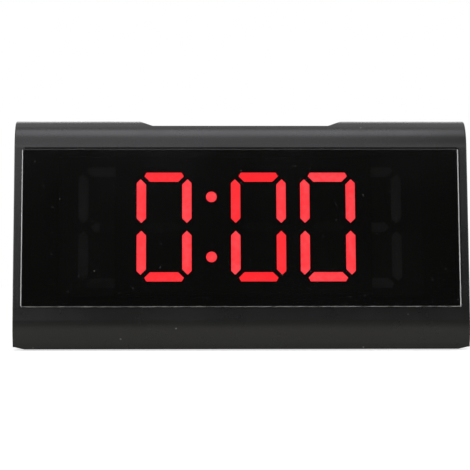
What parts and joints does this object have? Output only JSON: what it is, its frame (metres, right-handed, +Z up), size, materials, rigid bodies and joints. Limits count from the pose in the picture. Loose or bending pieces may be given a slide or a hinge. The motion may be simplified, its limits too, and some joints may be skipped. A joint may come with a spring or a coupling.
{
  "type": "digital led desk clock",
  "caption": "Wedge-shaped desk clock with a rolled top, a flush snooze bar, a smoked front lens over red digits, rear keys and a hinged battery door.",
  "frame": {"origin": "on the table, under the middle of the clock's bounding box", "axes": "+X along the clock, to the right as its display is read; +Y to its back; +Z up"},
  "size_m": [0.16, 0.048, 0.0804],
  "materials": {
    "case_plastic": "satin black moulding",
    "cover_plastic": "fine matt texture, black",
    "lens_tint": "smoked acrylic sheet, polished",
    "foot_rubber": "matt black rubber",
    "screw_steel": "dark zinc plate",
    "mask_plastic": "matt black",
    "unlit_plastic": "milky grey, unlit",
    "display_plastic": "matt black",
    "lit_red": "red diffuser, lit",
    "dark_plastic": "dark diffuser, unlit",
    "led_chip": "pale moulded chip",
    "board": "green solder mask",
    "chip_plastic": "black moulded chip",
    "bright_metal": "bright nickel plate",
    "capacitor_sleeve": "dark shrink sleeve",
    "key_plastic": "black satin key",
    "switch_plastic": "dark grey moulding",
    "inlet_plastic": "black moulding",
    "buzzer_plastic": "black moulding",
    "cell_wrap": "plain dark wrap",
    "contact_metal": "plated spring strip",
    "ribbon": "pale grey ribbon"
  },
  "bodies": {
    "case": {"alarm_switch_body": "bright_metal", "battery_cells": "cell_wrap", "board_screws": "screw_steel", "bridge_contact": "contact_metal", "buzzer": "buzzer_plastic", "capacitor": "capacitor_sleeve", "case_screws": "screw_steel", "colon_dots": "lit_red", "control_board": "board", "control_board_screws": "screw_steel", "crystal_can": "bright_metal", "dark_segments": "dark_plastic", "display_housing": "display_plastic", "display_mask": "mask_plastic", "driver_chip": "chip_plastic", "feet": "foot_rubber", "front_housing": "case_plastic", "inlet_pin": "bright_metal", "key_switches": "switch_plastic", "led_chips": "led_chip", "lens": "lens_tint", "lit_segments": "lit_red", "main_board": "board", "negative_contact": "contact_metal", "positive_contact": "contact_metal", "power_inlet": "inlet_plastic", "rear_cover": "cover_plastic", "ribbon_cable": "ribbon", "snooze_board": "board", "snooze_board_screws": "screw_steel", "snooze_switch": "switch_plastic", "unlit_segments": "unlit_plastic"},
    "snooze": {"snooze_bar": "key_plastic", "snooze_plunger": "switch_plastic"},
    "alarm_switch": {"alarm_switch_knob": "key_plastic"},
    "door": {"battery_door": "cover_plastic"},
    "set_key": {"set_button": "key_plastic", "set_plunger": "switch_plastic"},
    "up_key": {"up_button": "key_plastic", "up_plunger": "switch_plastic"},
    "down_key": {"down_button": "key_plastic", "down_plunger": "switch_plastic"},
    "alarm_key": {"alarm_button": "key_plastic", "alarm_plunger": "switch_plastic"}
  },
  "joints": [
    {"name": "snooze_press", "type": "slide", "parent": "case", "child": "snooze", "axis": [0, 0, -1], "range_m": [0, 0.0006], "stiffness_N_per_m": 400, "springref_m": -0.0006},
    {"name": "set_press", "type": "slide", "parent": "case", "child": "set_key", "axis": [0, -0.9886, -0.1508], "range_m": [0, 0.0006], "stiffness_N_per_m": 300, "springref_m": -0.0005},
    {"name": "up_press", "type": "slide", "parent": "case", "child": "up_key", "axis": [0, -0.9886, -0.1508], "range_m": [0, 0.0006], "stiffness_N_per_m": 300, "springref_m": -0.0005},
    {"name": "down_press", "type": "slide", "parent": "case", "child": "down_key", "axis": [0, -0.9886, -0.1508], "range_m": [0, 0.0006], "stiffness_N_per_m": 300, "springref_m": -0.0005},
    {"name": "alarm_press", "type": "slide", "parent": "case", "child": "alarm_key", "axis": [0, -0.9886, -0.1508], "range_m": [0, 0.0006], "stiffness_N_per_m": 300, "springref_m": -0.0005},
    {"name": "alarm_slide", "type": "slide", "parent": "case", "child": "alarm_switch", "axis": [-1, 0, 0], "range_m": [0, 0.002]},
    {"name": "door_hinge", "type": "hinge", "parent": "case", "child": "door", "pos_m": [0, 0.02127, 0.01314], "axis": [-1, 0, 0], "range_deg": [0, 95]}
  ]
}
